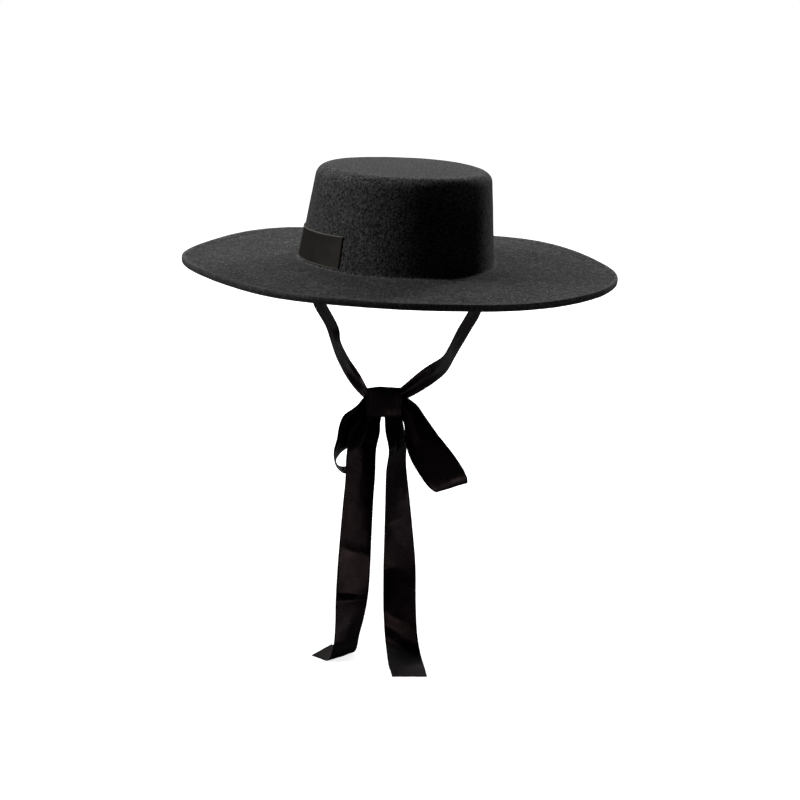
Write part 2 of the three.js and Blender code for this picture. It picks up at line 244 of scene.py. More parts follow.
def as_object(name, mesh_data, material, node):
    """Turns a bmesh in millimetres into a smooth piece that stands for a CAD node."""
    bmesh.ops.scale(mesh_data, vec=(MM, MM, MM), verts=mesh_data.verts)
    mesh = bpy.data.meshes.new(name)
    mesh_data.to_mesh(mesh)
    mesh_data.free()
    mesh.materials.append(material)
    for face in mesh.polygons:
        face.use_smooth = True
    piece = bpy.data.objects.new(name, mesh)
    bpy.context.scene.collection.objects.link(piece)
    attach(piece, "root")
    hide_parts(node)
    return piece


def give_thickness(piece, thickness):
    wall = piece.modifiers.new("thickness", "SOLIDIFY")
    wall.thickness = thickness * MM
    wall.offset = 0
    wall.use_even_offset = False
    return piece


# Felt body

worn_turn = Matrix.Rotation(math.radians(WORN_ROLL), 3, "Y") @ Matrix.Rotation(
    math.radians(WORN_TILT), 3, "X")

# Without a seed the felt would come out slightly different in each run
noise.seed_set(UNEVENNESS_SEED)


def blocked_unevenness(point):
    """The slight unevenness that steam and blocking leave in felt, the same for both its faces."""
    return noise.noise_vector(point / 60) * 0.5 + noise.noise_vector(point / 14) * 0.16


def hat_point(radius, angle, height):
    """A point of the round spun hat, set to the oval of the crown and brim as it is worn."""
    up = min(1.0, max(0.0, height / CROWN_HEIGHT))
    share = max(0.0, (radius - CROWN_HALF_WIDTH) / BRIM_WIDTH)
    flat_top = CROWN_HALF_WIDTH - CROWN_TAPER - EDGE_RADIUS
    if height > CROWN_HEIGHT / 2 and radius < flat_top:
        depth = radius * (flat_top + CROWN_TOP_STRETCH) / flat_top
    else:
        depth = radius + CROWN_HALF_DEPTH - CROWN_HALF_WIDTH - 0.15 * CROWN_TAPER * up
    rim = BRIM_DROP
    for waves, cosine, sine in BRIM_WAVES:
        rim += cosine * math.cos(waves * angle) + sine * math.sin(waves * angle)
    point = Vector((
        CROWN_LEAN * up + BRIM_SHIFT * share + radius * math.cos(angle),
        depth * math.sin(angle),
        height + rim * share ** 1.4,
    ))
    point = worn_turn @ point
    return point + blocked_unevenness(point)


def crown_radius(height, inset):
    return CROWN_HALF_WIDTH - CROWN_TAPER * height / CROWN_HEIGHT - inset


def felt_profile():
    """Half of the hat's section: over the top, down the wall, out over the brim and back inside."""
    flat_top = CROWN_HALF_WIDTH - CROWN_TAPER - EDGE_RADIUS
    row = []
    for step in range(21):
        share = step / 20
        row.append((flat_top * share, CROWN_HEIGHT + CROWN_DOME * (1 - share * share)))
    for step in range(1, 11):
        turn = math.radians(9 * step)
        drop = EDGE_RADIUS * (1 - math.cos(turn))
        inset = EDGE_RADIUS * (1 - math.sin(turn))
        height = CROWN_HEIGHT - drop
        row.append((crown_radius(height, inset), height))
    for step in range(1, 27):
        height = mix(CROWN_HEIGHT - EDGE_RADIUS, BREAK_RADIUS, step / 26)
        row.append((crown_radius(height, 0), height))
    for step in range(1, 6):
        turn = math.radians(18 * step)
        row.append((CROWN_HALF_WIDTH + BREAK_RADIUS * (1 - math.cos(turn)),
                    BREAK_RADIUS * (1 - math.sin(turn))))
    foot = CROWN_HALF_WIDTH
    fold = BRIM_WIDTH - HEM_WIDTH
    for step in range(1, 35):
        row.append((foot + mix(BREAK_RADIUS, fold - 3, step / 34), 0))
    corner = HEM_CORNER
    top = HEM_RISE + HEM_BEAD
    bottom = HEM_RISE - HEM_THICK
    side = BRIM_WIDTH - RIM_BULGE
    for step in range(1, 17):
        out = mix(fold - 3, side - corner, step / 16)
        height = HEM_RISE * smooth_step(fold - 3, fold + 3, out)
        height += HEM_BEAD * smooth_step(BRIM_WIDTH - 4.4, BRIM_WIDTH - 1.9, out)
        row.append((foot + out, height))
    for step in range(1, 8):
        turn = math.radians(90 * step / 7)
        row.append((foot + side - corner * (1 - math.sin(turn)),
                    top - corner * (1 - math.cos(turn))))
    for step in range(1, 4):
        height = mix(top - corner, bottom + corner, step / 4)
        row.append((foot + side + RIM_BULGE * math.sin(math.pi * step / 4), height))
    for step in range(0, 8):
        turn = math.radians(90 * step / 7)
        row.append((foot + side - corner * (1 - math.cos(turn)),
                    bottom + corner * (1 - math.sin(turn))))
    bend = HEM_FOLD_RADIUS
    for step in range(1, 5):
        row.append((foot + mix(side - corner, fold + bend, step / 4), bottom))
    for step in range(1, 5):
        turn = math.radians(22.5 * step)
        row.append((foot + fold + bend - bend * math.sin(turn),
                    bottom + bend - bend * math.cos(turn)))
    row.append((foot + fold - 0.1, -FELT - 0.15))
    row.append((foot + fold - 0.7, -FELT))
    start = UNDER_BREAK_RADIUS - FELT
    for step in range(1, 35):
        row.append((foot + mix(fold - 0.7, start, step / 34), -FELT))
    for step in range(1, 7):
        turn = math.radians(15 * step)
        row.append((foot + start - UNDER_BREAK_RADIUS * math.sin(turn),
                    start - UNDER_BREAK_RADIUS * math.cos(turn)))
    for step in range(1, 19):
        height = mix(start, CROWN_HEIGHT - EDGE_RADIUS, step / 18)
        row.append((crown_radius(height, FELT), height))
    for step in range(1, 8):
        turn = math.radians(90 - 90 * step / 7)
        drop = FELT + (EDGE_RADIUS - FELT) * (1 - math.cos(turn))
        inset = FELT + (EDGE_RADIUS - FELT) * (1 - math.sin(turn))
        height = CROWN_HEIGHT - drop
        row.append((crown_radius(height, inset), height))
    for step in range(1, 15):
        share = 1 - step / 14
        row.append((flat_top * share, CROWN_HEIGHT - FELT + CROWN_DOME * (1 - share * share)))
    return row


def rubbed_and_highlit(radius, height):
    """How far the felt is made paler: on the brim's edge partly nap worn pale by rubbing and partly
    painted highlight on the hem's ridge, at the crown's foot a painted highlight line, and a weaker
    painted highlight along the crown's top edge."""
    out = radius - CROWN_HALF_WIDTH
    edge = smooth_step(BRIM_WIDTH - 4.6, BRIM_WIDTH - 2.2, out)
    edge *= smooth_step(-2.2, -0.3, height)
    foot = smooth_step(-2.4, -0.6, -height) * smooth_step(-0.2, 0.2, height)
    foot *= smooth_step(0.0, 0.3, out) * smooth_step(2.2, 1.2, out)
    edge = max(edge, 0.8 * foot)
    roll = smooth_step(CROWN_HEIGHT - 11, CROWN_HEIGHT - 3, height)
    roll *= smooth_step(-27, -17, out)
    return max(edge, 0.4 * roll)


def pressed_and_shaded(radius, height):
    """How far the felt over the hem's outer side is flattened and darkened: the clumps lie flat
    there, and its darker grey is in part painted shade.
    """
    side = smooth_step(BRIM_WIDTH - 3.6, BRIM_WIDTH - 1.2, radius - CROWN_HALF_WIDTH)
    bottom = HEM_RISE - HEM_THICK
    return side * smooth_step(bottom - 0.2, bottom + 0.6, height)


def build_felt(material):
    bm = bmesh.new()
    previous = None
    for radius, height in felt_profile():
        vertex = bm.verts.new((radius, 0, height))
        if previous is not None:
            bm.edges.new((previous, vertex))
        previous = vertex
    bmesh.ops.spin(bm, geom=bm.verts[:] + bm.edges[:], cent=(0, 0, 0), axis=(0, 0, 1),
                   dvec=(0, 0, 0), angle=2 * math.pi, steps=SPIN_STEPS, use_merge=True,
                   use_duplicate=False)
    bmesh.ops.remove_doubles(bm, verts=bm.verts, dist=0.001)
    # This mask paints the paler edges: partly nap worn by rubbing, partly painted highlight.
    worn = bm.verts.layers.float.new("rubbed_and_highlit_edge")
    # This mask flattens the hem's outer side and darkens it, the darkening in part painted shade.
    hem_press_and_shade = bm.verts.layers.float.new("pressed_and_shaded_hem")
    brushed = bm.verts.layers.float.new("brim_nap")
    for vertex in bm.verts:
        radius = math.hypot(vertex.co.x, vertex.co.y)
        angle = math.atan2(vertex.co.y, vertex.co.x)
        vertex[worn] = rubbed_and_highlit(radius, vertex.co.z)
        vertex[hem_press_and_shade] = pressed_and_shaded(radius, vertex.co.z)
        vertex[brushed] = smooth_step(CROWN_HALF_WIDTH + 2, CROWN_HALF_WIDTH + 12, radius)
        vertex[brushed] *= 1 - vertex[hem_press_and_shade]
        vertex.co = hat_point(radius, angle, vertex.co.z)
    bmesh.ops.recalc_face_normals(bm, faces=bm.faces)
    return as_object("felt_hat", bm, material, "felt_body")


# Side label

def build_label(material):
    bm = bmesh.new()
    uv = bm.loops.layers.uv.new("strip")
    border = bm.verts.layers.float.new("border")
    bmesh.ops.create_grid(bm, x_segments=84, y_segments=28, size=0.5, calc_uvs=True)
    length = math.radians(LABEL_END - LABEL_START) * LABEL_RADIUS
    width = LABEL_HIGH - LABEL_LOW
    for face in bm.faces:
        for loop in face.loops:
            spot = loop.vert.co
            loop[uv].uv = ((spot.y + 0.5) * width * MM, (spot.x + 0.5) * length * MM)
    for vertex in bm.verts:
        share = vertex.co.x + 0.5
        up = vertex.co.y + 0.5
        angle = math.radians(-90 - mix(LABEL_START, LABEL_END, share))
        drop = LABEL_SAG * min(1, share * 1.3)
        height = mix(LABEL_LOW - 0.2 * drop, LABEL_HIGH - drop, up)
        loose = 0.5 * smooth_step(0.72, 1.0, up) * (0.7 + 0.3 * math.sin(share * 9))
        loose *= smooth_step(0.0, 0.06, share)
        wave = 0.12 * noise.noise(Vector((share * 7, up * 2, 4.2)))
        sewn = 0.2 * smooth_step(0.03, 0.0, share)
        gap = LABEL_GAP + LABEL_THICK / 2 + loose + wave - sewn
        vertex[border] = min(up, 1 - up) * width
        vertex.co = hat_point(crown_radius(height, -gap), angle, height)
    bmesh.ops.recalc_face_normals(bm, faces=bm.faces)
    piece = as_object("ribbon_label", bm, material, "side_label")
    return give_thickness(piece, LABEL_THICK), length


# Ribbons

def path_point(points, share):
    """A point of the smooth centripetal curve through the points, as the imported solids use."""
    last = len(points) - 1
    place = min(max(share, 0.0), 1.0) * last
    row = min(int(place), last - 1)
    here = points[row]
    there = points[row + 1]
    before = points[row - 1] if row > 0 else here * 2 - there
    after = points[row + 2] if row + 2 <= last else there * 2 - here
    first, middle, third = (math.sqrt(max((b - a).length, 1e-4))
                            for a, b in ((before, here), (here, there), (there, after)))
    leave = ((here - before) / first - (there - before) / (first + middle)
             + (there - here) / middle) * middle
    arrive = ((there - here) / middle - (after - here) / (middle + third)
              + (after - there) / third) * middle
    t = place - row
    return (here + leave * t + (there * 3 - here * 3 - leave * 2 - arrive) * t ** 2
            + (here * 2 - there * 2 + leave + arrive) * t ** 3)


def edge_curves(rows):
    near = []
    far = []
    for x, y, z, spread, turn, rise in rows:
        level = math.cos(math.radians(rise))
        way = Vector((level * math.cos(math.radians(turn)),
                      level * math.sin(math.radians(turn)),
                      math.sin(math.radians(rise))))
        middle = Vector((x, y, z))
        near.append(middle - way * (RIBBON * spread / 2))
        far.append(middle + way * (RIBBON * spread / 2))
    return near, far


def even_stations(near, far):
    """Places along the ribbon at even lengths of its middle line, and that length."""
    count = 600
    middles = [(path_point(near, i / count) + path_point(far, i / count)) / 2
               for i in range(count + 1)]
    lengths = [0.0]
    for a, b in zip(middles, middles[1:]):
        lengths.append(lengths[-1] + (b - a).length)
    total = lengths[-1]
    steps = max(8, round(total / STATION_PITCH))
    stations = []
    i = 0
    for step in range(steps + 1):
        goal = total * step / steps
        while i < count - 1 and lengths[i + 1] < goal:
            i += 1
        part = (goal - lengths[i]) / (lengths[i + 1] - lengths[i])
        stations.append(((i + part) / count, goal))
    return stations, total


def gather_offset(spread, across, along, seed):
    """Pleats across a ribbon that is drawn in, deep enough to take up its width, to a limit."""
    if spread >= 0.99:
        return 0.0
    depth = RIBBON * spread / (math.pi * GATHER_WAVES) * math.sqrt(1 / spread - 1)
    depth = min(depth, GATHER_DEPTH)
    phase = 2 * math.pi * GATHER_WAVES * across + seed + 0.03 * along
    return depth * math.sin(phase + 0.45 * math.sin(phase))


def fold_offset(folds, across, along):
    """Press folds left by the packing: the ribbon runs straight from one fold line to the next.
    Each has a place along, a slant over the width and how far it lies back, in mm."""
    if not folds:
        return 0.0
    lines = [(place + slant * (across - 0.5), back) for place, slant, back in folds]
    total = 0.0
    for shift in (-1.2, -0.6, 0.0, 0.6, 1.2):
        spot = along + shift
        value = lines[0][1] if spot < lines[0][0] else lines[-1][1]
        for (start, a), (end, b) in zip(lines, lines[1:]):
            if start <= spot < end:
                value = mix(a, b, (spot - start) / (end - start))
        total += value / 5
    return total


def ribbon(name, node, rows, material, seed, folds=(), tuck=(0, 0), shape=None, lying=(999, 0)):
    """A flat woven ribbon through its rows, with gathers where an end is tucked into the knot (by so
    many mm at its start and its end), press folds and a slight unevenness. From the place along it
    where it lies on the ground, with a slant over the width, it is paler and duller; towards the tip
    it is less pale, a painted shade that evens out the light on the flat end."""
    near, far = edge_curves(rows)
    stations, total = even_stations(near, far)
    bm = bmesh.new()
    uv = bm.loops.layers.uv.new("strip")
    border = bm.verts.layers.float.new("border")
    pale_dull_end = bm.verts.layers.float.new("pale_dull_end")
    last = len(stations) - 1
    bmesh.ops.create_grid(bm, x_segments=RIBBON_COLUMNS, y_segments=last, size=0.5,
                          calc_uvs=True)
    for face in bm.faces:
        for loop in face.loops:
            spot = loop.vert.co
            loop[uv].uv = ((spot.x + 0.5) * RIBBON * MM, (spot.y + 0.5) * total * MM)
    for vertex in bm.verts:
        across = vertex.co.x + 0.5
        share, along = stations[round((vertex.co.y + 0.5) * last)]
        a = path_point(near, share)
        b = path_point(far, share)
        ahead = min(1.0, share + 0.003)
        behind = max(0.0, share - 0.003)
        travel = (path_point(near, ahead) + path_point(far, ahead)
                  - path_point(near, behind) - path_point(far, behind)).normalized()
        width = (b - a).length
        face_way = (b - a).normalized().cross(travel).normalized()
        drawn = smooth_step(*GATHER_REACH, along) if tuck[0] else 0.0
        drawn += smooth_step(*GATHER_REACH, total - along) if tuck[1] else 0.0
        inner = smooth_step(0.0, 0.16, min(across, 1 - across))
        offset = drawn * inner * gather_offset(width / RIBBON, across, along, seed)
        spot = Vector((across * 1.1 + seed, along / 34, seed * 3.1))
        offset += inner * (0.55 * noise.noise(spot) + 0.25 * noise.noise(spot * 3.3))
        if shape is not None:
            offset += shape(across, along, total)
        point = a.lerp(b, across) + face_way * offset
        point.y += fold_offset(folds, across, along)
        # Paler and duller from where the ribbon lies on the ground; less pale near the tip, a painted
        # shade that evens out the light on the flat end.
        vertex[pale_dull_end] = smooth_step(-4, 4, along - lying[0] - lying[1] * (across - 0.5))
        vertex[pale_dull_end] *= 0.35 + 0.65 * smooth_step(4, 30, total - along)
        vertex[border] = min(across, 1 - across) * RIBBON
        if not tuck[1]:
            vertex[border] = min(vertex[border], total - along)
        start_tuck = tuck[0] * smooth_step(TUCK_REACH, 0.0, along)
        end_tuck = tuck[1] * smooth_step(TUCK_REACH, 0.0, total - along)
        point += travel * (end_tuck - start_tuck)
        point.z = max(point.z, FLOOR + RIBBON_THICK / 2 + 0.1)
        vertex.co = point
    bmesh.ops.recalc_face_normals(bm, faces=bm.faces)
    piece = as_object(name, bm, material, node)
    return give_thickness(piece, RIBBON_THICK), total


# Knot

def knot_folds(share, angle):
    """How far the folds of the wrapped ribbon stand in, in mm: a few soft ones, no two alike."""
    u = share + 0.05 * math.sin(angle + 0.4) + 0.02 * math.sin(2 * angle + 1)
    total = 0.0
    for place, width, depth in KNOT_FOLDS:
        away = (u - place) / width
        total -= depth * math.exp(-math.sqrt(away * away + 0.15))
    return total * (0.6 + 0.4 * abs(math.cos(angle)))


def build_knot(material):
    """A closed wrap of the ribbon: a grid rolled around the knot's length, its ends turned in."""
    bm = bmesh.new()
    uv = bm.loops.layers.uv.new("strip")
    border = bm.verts.layers.float.new("border")
    bmesh.ops.create_grid(bm, x_segments=96, y_segments=88, size=0.5, calc_uvs=True)
    for face in bm.faces:
        for loop in face.loops:
            spot = loop.vert.co
            loop[uv].uv = ((spot.x + 0.5) * RIBBON * MM, (spot.y + 0.5) * KNOT_AROUND * MM)
    for vertex in bm.verts:
        raw = mix(-KNOT_TURN_IN, 1 + KNOT_TURN_IN, vertex.co.x + 0.5)
        share = min(1.0, max(0.0, raw))
        past = max(0.0, -raw, raw - 1) / KNOT_TURN_IN
        vertex[border] = RIBBON / 2
        angle = (vertex.co.y + 0.5) * 2 * math.pi + math.pi
        x = mix(KNOT_LEFT, KNOT_RIGHT, share)
        swell = math.sin(math.pi * mix(0.10, 0.90, share)) ** 0.5
        cosine = math.cos(angle)
        sine = math.sin(angle)
        squareness = (abs(cosine) ** KNOT_SQUARENESS
                      + abs(sine) ** KNOT_SQUARENESS) ** (-1 / KNOT_SQUARENESS)
        lump = 0.5 * noise.noise(Vector((share * 3, cosine * 1.5, sine * 1.5)))
        depth = KNOT_HALF_DEPTH * swell + knot_folds(share, angle) + lump
        height = KNOT_HALF_HEIGHT * mix(0.88, 1, swell) + 0.6 * knot_folds(share, angle) + lump
        shrink = 1 - past ** 1.5
        inward = 2.6 * math.sin(past * math.pi / 2) * (1 if raw < 0 else -1 if raw > 1 else 0)
        vertex.co = (
            x + inward,
            KNOT_MIDDLE[0] + depth * cosine * squareness * shrink,
            KNOT_MIDDLE[1] + height * sine * squareness * shrink,
        )
    bmesh.ops.remove_doubles(bm, verts=bm.verts, dist=0.002)
    bmesh.ops.recalc_face_normals(bm, faces=bm.faces)
    return as_object("wrapped_knot", bm, material, "bow_knot")


# Materials

def wool_felt():
    """Fulled wool felt, dyed black and brushed: fibres felted into a mat give a matt, grainy charcoal
    that is neutral in colour. Clumps of fibre are about 2 mm, brushed curls 5 to 8 mm, with a little
    lint. The brim's edge is paler, partly nap worn by rubbing and partly painted highlight; painted
    highlight also lines the crown's foot and top edge, and the hem's outer side is a flatter grey,
    darkened in part as painted shade."""
    material, tree, surface = new_material("fulled_wool_felt", {
        "Roughness": 0.95,
        "Specular IOR Level": 0.15,
        "Sheen Weight": 0.18,
        "Sheen Roughness": 0.55,
        "Sheen Tint": linear("#cccccb"),
    })
    place = add_node(tree, "ShaderNodeTexCoord").outputs["Object"]
    clumps = add_node(tree, "ShaderNodeTexNoise", {
        "Scale": 540.0, "Detail": 2.5, "Roughness": 0.6, "Distortion": 0.4}, {"Vector": place})
    curls = add_node(tree, "ShaderNodeTexNoise", {
        "Scale": 210.0, "Detail": 3.0, "Roughness": 0.6, "Distortion": 2.4}, {"Vector": place})
    patches = add_node(tree, "ShaderNodeTexNoise", {
        "Scale": 42.0, "Detail": 3.0, "Roughness": 0.5}, {"Vector": place})
    grain = add_node(tree, "ShaderNodeMapRange", {
        "From Min": 0.36, "From Max": 0.64}, {"Value": clumps.outputs[0]})
    tone = add_node(tree, "ShaderNodeMix", {
        "data_type": "RGBA", 6: linear("#0d0d0e"), 7: linear("#5c5c5d")}, {0: grain.outputs[0]})
    # The hem's outer side turns a flatter, darker grey: its clumps lie flat, and the darkening is in
    # part painted shade.
    pressed_and_shaded_hem = add_node(tree, "ShaderNodeAttribute", {"attribute_name": "pressed_and_shaded_hem"})
    matted_and_shaded = add_node(tree, "ShaderNodeMapRange", {"From Max": 1.0, "To Max": 0.75},
                      {"Value": pressed_and_shaded_hem.outputs[2]})
    tone = add_node(tree, "ShaderNodeMix", {
        "data_type": "RGBA", 7: linear("#2e2e2f")}, {0: matted_and_shaded.outputs[0], 6: tone.outputs[2]})
    brushed = add_node(tree, "ShaderNodeMapRange", {
        "From Min": 0.36, "From Max": 0.64, "To Min": 0.7, "To Max": 1.3},
        {"Value": curls.outputs[0]})
    on_brim = add_node(tree, "ShaderNodeAttribute", {"attribute_name": "brim_nap"})
    swirls = add_node(tree, "ShaderNodeTexNoise", {
        "Scale": 210.0, "Detail": 2.0, "Roughness": 0.7, "Distortion": 1.2}, {"Vector": place})
    swirled = add_node(tree, "ShaderNodeMapRange", {
        "From Min": 0.38, "From Max": 0.62, "To Min": 0.55, "To Max": 1.8},
        {"Value": swirls.outputs[0]})
    raised = add_node(tree, "ShaderNodeMath", {"operation": "MULTIPLY"},
                      {0: on_brim.outputs[2], 1: swirls.outputs[0]})
    raised = add_node(tree, "ShaderNodeMath", {"operation": "MULTIPLY_ADD", 1: 4.0},
                      {0: raised.outputs[0], 2: clumps.outputs[0]})
    swirled = add_node(tree, "ShaderNodeMix", {2: 1.0},
                       {0: on_brim.outputs[2], 3: swirled.outputs[0]})
    clouded = add_node(tree, "ShaderNodeMapRange", {
        "From Min": 0.3, "From Max": 0.7, "To Min": 0.85, "To Max": 1.15},
        {"Value": patches.outputs[0]})
    # Paler edges: nap worn by rubbing on the brim's edge, and painted highlight on the hem's ridge,
    # at the crown's foot and along the crown's top edge.
    rubbed_and_highlit_mask = add_node(tree, "ShaderNodeAttribute", {"attribute_name": "rubbed_and_highlit_edge"})
    paler = add_node(tree, "ShaderNodeMapRange", {
        "From Max": 1.0, "To Min": 1.0, "To Max": 2.2}, {"Value": rubbed_and_highlit_mask.outputs[2]})
    level = add_node(tree, "ShaderNodeMath", {"operation": "MULTIPLY"},
                     {0: brushed.outputs[0], 1: clouded.outputs[0]})
    level = add_node(tree, "ShaderNodeMath", {"operation": "MULTIPLY"},
                     {0: level.outputs[0], 1: paler.outputs[0]})
    level = add_node(tree, "ShaderNodeMath", {"operation": "MULTIPLY"},
                     {0: level.outputs[0], 1: swirled.outputs[0]})
    tone = add_node(tree, "ShaderNodeVectorMath", {"operation": "SCALE"},
                    {0: tone.outputs[2], "Scale": level.outputs[0]})
    specks = add_node(tree, "ShaderNodeTexVoronoi", {"Scale": 90.0}, {"Vector": place})
    small = add_node(tree, "ShaderNodeMapRange", {
        "From Min": 0.03, "From Max": 0.075, "To Min": 0.6, "To Max": 0.0},
        {"Value": specks.outputs[0]})
    tone = add_node(tree, "ShaderNodeMix", {
        "data_type": "RGBA", 7: linear("#8f8f8c")}, {0: small.outputs[0], 6: tone.outputs[0]})
    tree.links.new(tone.outputs[2], surface.inputs["Base Color"])
    flattened = add_node(tree, "ShaderNodeMapRange", {
        "From Max": 1.0, "To Min": 1.0, "To Max": 0.2}, {"Value": pressed_and_shaded_hem.outputs[2]})
    bump = add_node(tree, "ShaderNodeBump", {"Distance": 0.0011},
                    {"Height": raised.outputs[0], "Strength": flattened.outputs[0]})
    tree.links.new(bump.outputs[0], surface.inputs["Normal"])
    return material


def woven_ribbon(name, ground, rib, worn, edge_tone, rough, gloss, tint, rib_pitch):
    """Woven polyester ribbon: fine cross ribs break up a soft satin gleam, crushed patches are
    duller, and the edges have a tone of their own, dark on the ribbons and pale on the label, where
    it is partly edge threads and partly painted highlight. Real ribs are about 0.6 mm apart, drawn at
    the given pitch so that they show."""
    material, tree, surface = new_material(name, {
        "Specular IOR Level": gloss,
        "Specular Tint": linear(tint),
        "Sheen Weight": 0.01,
        "Sheen Roughness": 0.4,
        "Sheen Tint": linear("#d9c4c8"),
    })
    strip = add_node(tree, "ShaderNodeUVMap", {"uv_map": "strip"}).outputs[0]
    place = add_node(tree, "ShaderNodeTexCoord").outputs["Object"]
    scaled = add_node(tree, "ShaderNodeMapping", {"Scale": (1000.0, 1000.0, 1.0)}, {0: strip})
    ribs = add_node(tree, "ShaderNodeTexWave", {
        "wave_type": "BANDS", "bands_direction": "Y", "wave_profile": "SIN",
        "Scale": 2 * math.pi / 20 / rib_pitch, "Distortion": 0.25, "Detail": 1.0,
        "Detail Scale": 1.5}, {0: scaled.outputs[0]})
    threads = add_node(tree, "ShaderNodeTexNoise", {
        "Scale": 900.0, "Detail": 2.0}, {"Vector": place})
    crushed = add_node(tree, "ShaderNodeTexNoise", {
        "Scale": 55.0, "Detail": 4.0, "Roughness": 0.6}, {"Vector": place})
    tone = add_node(tree, "ShaderNodeMix", {
        "data_type": "RGBA", 6: linear(ground), 7: linear(rib)}, {0: ribs.outputs[1]})
    faded = add_node(tree, "ShaderNodeMapRange", {
        "From Min": 0.38, "From Max": 0.66, "To Min": 0.0, "To Max": 0.7},
        {"Value": crushed.outputs[0]})
    tone = add_node(tree, "ShaderNodeMix", {
        "data_type": "RGBA", 7: linear(worn)}, {0: faded.outputs[0], 6: tone.outputs[2]})
    # Towards a light grey where the ribbon lies on the ground; the weaker paling near the tip is
    # painted shade.
    pale_dull_end = add_node(tree, "ShaderNodeAttribute", {"attribute_name": "pale_dull_end"}).outputs[2]
    tone = add_node(tree, "ShaderNodeMix", {
        "data_type": "RGBA", 7: linear("#343433")}, {0: pale_dull_end, 6: tone.outputs[2]})
    border = add_node(tree, "ShaderNodeAttribute", {"attribute_name": "border"})
    edge = add_node(tree, "ShaderNodeMapRange", {
        "From Min": 0.5, "From Max": 1.1, "To Min": 1.0, "To Max": 0.0},
        {"Value": border.outputs[2]})
    tone = add_node(tree, "ShaderNodeMix", {
        "data_type": "RGBA", 7: linear(edge_tone)}, {0: edge.outputs[0], 6: tone.outputs[2]})
    tree.links.new(tone.outputs[2], surface.inputs["Base Color"])
    dull = add_node(tree, "ShaderNodeMapRange", {
        "From Min": 0.35, "From Max": 0.65, "To Min": rough - 0.05, "To Max": rough + 0.08},
        {"Value": crushed.outputs[0]})
    dull = add_node(tree, "ShaderNodeMath", {"operation": "MULTIPLY_ADD", 1: 0.3, "use_clamp": True},
                    {0: edge.outputs[0], 2: dull.outputs[0]})
    dull = add_node(tree, "ShaderNodeMath", {"operation": "MULTIPLY_ADD", 1: 2.0, "use_clamp": True},
                    {0: pale_dull_end, 2: dull.outputs[0]})
    tree.links.new(dull.outputs[0], surface.inputs["Roughness"])
    heights = add_node(tree, "ShaderNodeMath", {"operation": "MULTIPLY_ADD", 1: 0.3},
                       {0: threads.outputs[0], 2: ribs.outputs[1]})
    bump = add_node(tree, "ShaderNodeBump", {"Strength": 0.1, "Distance": 0.00025},
                    {"Height": heights.outputs[0]})
    tree.links.new(bump.outputs[0], surface.inputs["Normal"])
    return material


# Studio

def studio_floor():
    """A pale sweep that reads as white to the camera and gives little light back to the hat."""
    bm = bmesh.new()
    bmesh.ops.create_grid(bm, x_segments=8, y_segments=8, size=6.0)
    bmesh.ops.translate(bm, vec=(0, 0, FLOOR * MM), verts=bm.verts)
    mesh = bpy.data.meshes.new("studio_floor")
    bm.to_mesh(mesh)
    bm.free()
    floor = bpy.data.objects.new("studio_floor", mesh)
    bpy.context.scene.collection.objects.link(floor)
    material, tree, surface = new_material("pale_floor", {
        "Roughness": 1.0, "Specular IOR Level": 0.0, "Emission Color": (1, 1, 1, 1)})
    seen = add_node(tree, "ShaderNodeLightPath").outputs[0]
    shade = add_node(tree, "ShaderNodeMix", {
        "data_type": "RGBA", 6: (0.1, 0.1, 0.1, 1), 7: (0.8, 0.8, 0.8, 1)}, {0: seen})
    place = add_node(tree, "ShaderNodeTexCoord").outputs["Object"]
    away = add_node(tree, "ShaderNodeVectorMath", {"operation": "LENGTH"}, {0: place})
    level = add_node(tree, "ShaderNodeMapRange", {
        "From Min": 0.38, "From Max": 0.6, "To Min": 0.85, "To Max": 1.1}, {0: away.outputs[1]})
    glow = add_node(tree, "ShaderNodeMath", {"operation": "MULTIPLY"},
                    {0: seen, 1: level.outputs[0]})
    tree.links.new(shade.outputs[2], surface.inputs["Base Color"])
    tree.links.new(glow.outputs[0], surface.inputs["Emission Strength"])
    mesh.materials.append(material)


def soft_light(name, place, aim, size, power, colour="#ffffff"):
    data = bpy.data.lights.new(name, "AREA")
    data.shape = "RECTANGLE"
    data.size, data.size_y = size
    data.energy = power
    data.color = linear(colour)[:3]
    light = bpy.data.objects.new(name, data)
    light.location = place
    light.rotation_euler = (Vector(aim) - Vector(place)).to_track_quat("-Z", "Y").to_euler()
    bpy.context.scene.collection.objects.link(light)
    return light


def floor_glow(name, spot, size, power):
    """A small light just over the floor, out of the camera's sight, placed so that the ribbons show
    the light and dark patches that they have in the photo."""
    x, y = spot
    glow = soft_light(name, (x, y, FLOOR * MM + 0.002), (x, y, 1), size, power)
    glow.visible_camera = False


